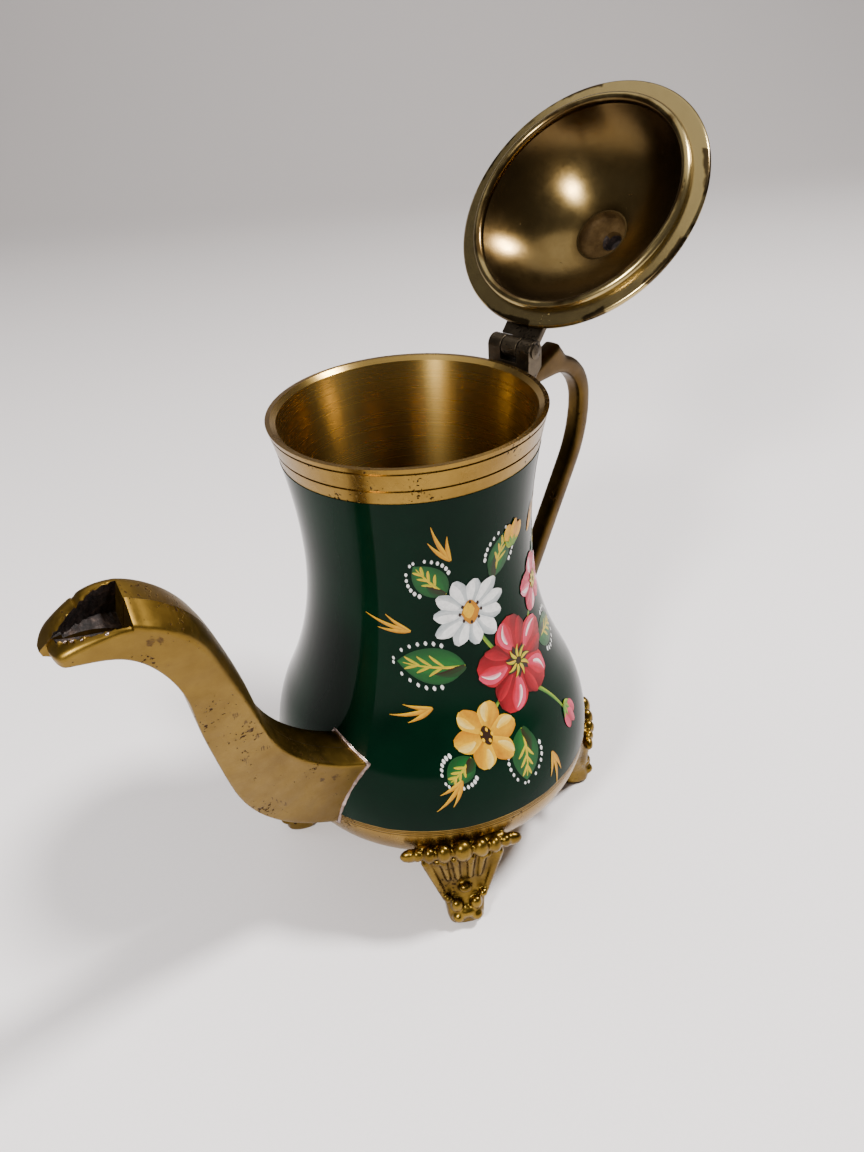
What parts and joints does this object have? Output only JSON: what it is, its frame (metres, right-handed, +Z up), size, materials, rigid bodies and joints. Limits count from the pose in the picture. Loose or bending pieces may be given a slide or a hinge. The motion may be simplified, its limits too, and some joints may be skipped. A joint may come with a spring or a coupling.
{
  "type": "coffee pot",
  "caption": "Small footed brass coffee pot with a pear-shaped painted body, swan-neck spout, cast handle and hinged domed lid.",
  "frame": {"origin": "on the body axis, in the plane of the four soles", "axes": "+Z up along the body axis, +X towards the handle and hinge, -X towards the spout"},
  "size_m": [0.1847, 0.084, 0.1756],
  "materials": {
    "turned_brass": "turned and polished, fine lathe lines, lightly tarnished",
    "cast_brass": "filed casting, satin, small pits and tarnish",
    "foot_brass": "sand-cast ornament, bright on the high spots",
    "lid_brass": "turned, satin inside, polished flange",
    "hinge_metal": "dark tarnished, soldered",
    "enamel": "gloss dark green enamel with hand-painted flowers"
  },
  "bodies": {
    "pot": {"body_shell": "turned_brass", "base_dish": "turned_brass", "spout_left_half": "cast_brass", "spout_right_half": "cast_brass", "handle": "cast_brass", "foot_front_left": "foot_brass", "foot_front_right": "foot_brass", "foot_rear_left": "foot_brass", "foot_rear_right": "foot_brass", "hinge_body_leaf": "hinge_metal", "hinge_pin": "hinge_metal"},
    "lid": {"lid_dome": "lid_brass", "lid_finial": "lid_brass", "hinge_lid_leaf": "hinge_metal"}
  },
  "joints": [
    {"name": "lid_hinge", "type": "hinge", "parent": "pot", "child": "lid", "pos_m": [0.037, 0, 0.1239], "axis": [0, 1, 0], "range_deg": [-132.3, 0]}
  ]
}
